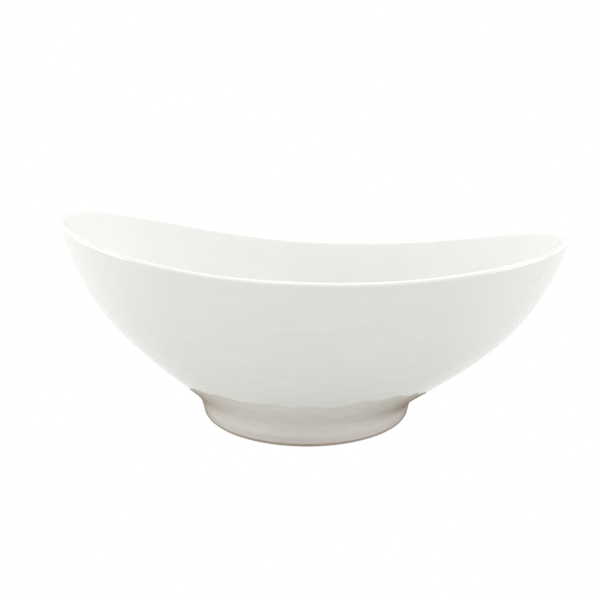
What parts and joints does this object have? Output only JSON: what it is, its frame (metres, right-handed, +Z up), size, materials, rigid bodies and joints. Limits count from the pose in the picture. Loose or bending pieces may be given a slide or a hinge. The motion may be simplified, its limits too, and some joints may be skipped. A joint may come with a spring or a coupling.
{
  "type": "serving bowl",
  "caption": "Long oval serving bowl of white glazed porcelain, with swept-up ends of unequal height, a thin rounded lip and a round foot ring.",
  "frame": {"origin": "middle of the round foot, on the surface the bowl stands on", "axes": "+X along the bowl towards its lower end, +Y across it, +Z up"},
  "size_m": [0.32, 0.19, 0.1304],
  "materials": {
    "fired_porcelain": "fine matt unglazed porcelain, seen only on the wiped standing edge",
    "fired_slip": "fired joining slip, hidden under the glaze",
    "smooth_glaze": "clear gloss glaze over white porcelain, smooth",
    "rippled_glaze": "clear gloss glaze over faint level throwing ripples"
  },
  "bodies": {
    "root": {"bowl_body": "fired_porcelain", "foot_ring": "fired_porcelain", "luting_slip": "fired_slip", "inside_glaze": "smooth_glaze", "outside_glaze": "rippled_glaze", "recess_glaze": "smooth_glaze"}
  },
  "joints": []
}
